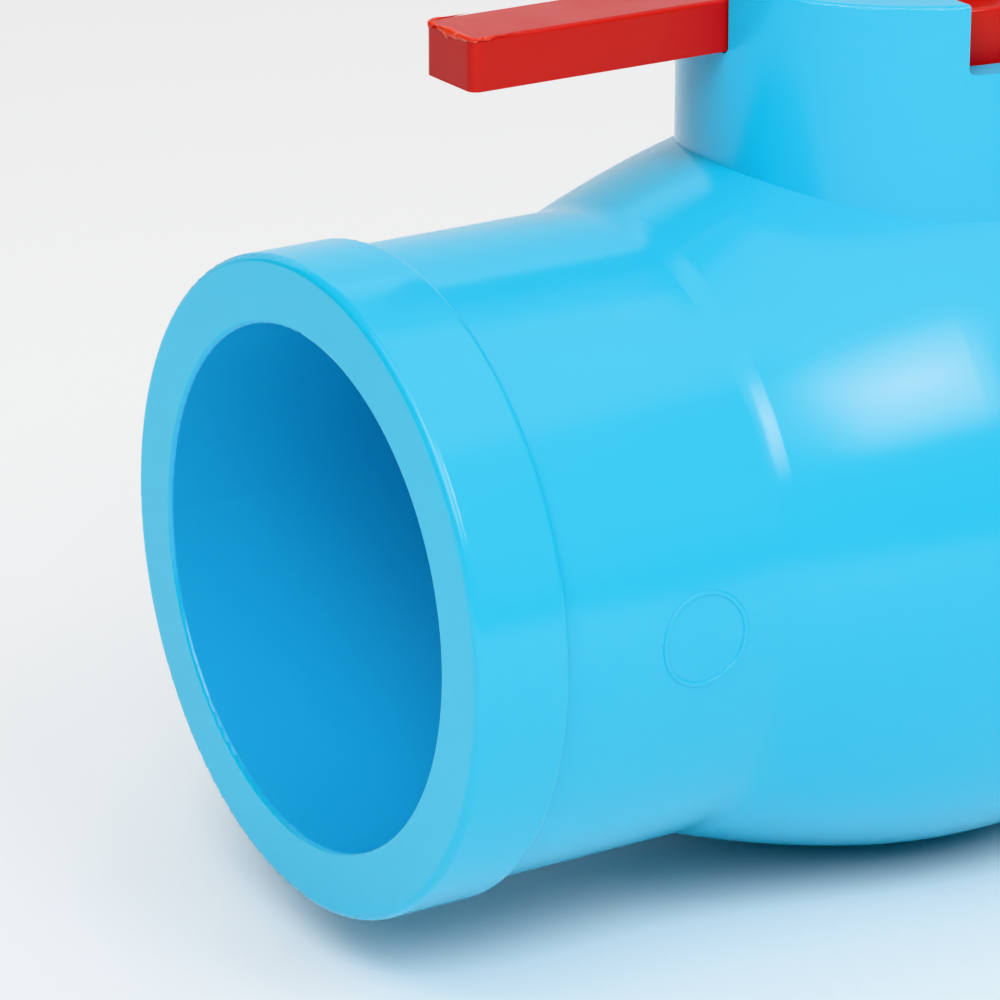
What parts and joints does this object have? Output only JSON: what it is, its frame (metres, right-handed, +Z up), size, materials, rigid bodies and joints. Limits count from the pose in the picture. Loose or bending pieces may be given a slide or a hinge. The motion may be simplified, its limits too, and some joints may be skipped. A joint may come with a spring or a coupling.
{
  "type": "ball valve",
  "caption": "Plastic ball valve with solvent-weld pipe sockets, a bellied housing, a castle-notched neck and a T-handle that turns the ball through a quarter turn.",
  "frame": {"origin": "centre of the left (inlet) socket's mouth, on the pipe axis", "axes": "+X along the pipe axis from the left socket to the right one, +Z up along the stem towards the handle"},
  "size_m": [0.162, 0.0904, 0.1102],
  "materials": {
    "blue_pvc": "moulded gloss",
    "red_handle": "moulded semi-gloss",
    "ball_plastic": "polished",
    "seat_plastic": "turned",
    "stem_plastic": "moulded",
    "seal_rubber": "moulded rubber",
    "screw_steel": "plain stainless"
  },
  "bodies": {
    "housing": {"valve_body": "blue_pvc", "end_connector": "blue_pvc", "seat_left": "seat_plastic", "seat_right": "seat_plastic", "seat_cushion_left": "seal_rubber", "seat_cushion_right": "seal_rubber", "body_seal_ring": "seal_rubber", "stem_bearing": "seat_plastic"},
    "handle_and_stem": {"handle": "red_handle", "handle_cap": "red_handle", "handle_screw": "screw_steel", "screw_washer": "screw_steel", "stem": "stem_plastic", "stem_ring_lower": "seal_rubber", "stem_ring_upper": "seal_rubber"},
    "turning_ball": {"ball": "ball_plastic"}
  },
  "joints": [
    {"name": "handle_turn", "type": "hinge", "parent": "housing", "child": "handle_and_stem", "pos_m": [0.081, 0, 0.046], "axis": [0, 0, 1], "range_deg": [-90, 0]},
    {"name": "ball_turn", "type": "hinge", "parent": "housing", "child": "turning_ball", "pos_m": [0.081, 0, 0], "axis": [0, 0, 1], "range_deg": [-90, 0]}
  ],
  "couplings": [
    {"joint": "ball_turn", "follows": "handle_turn", "ratio": 1}
  ]
}
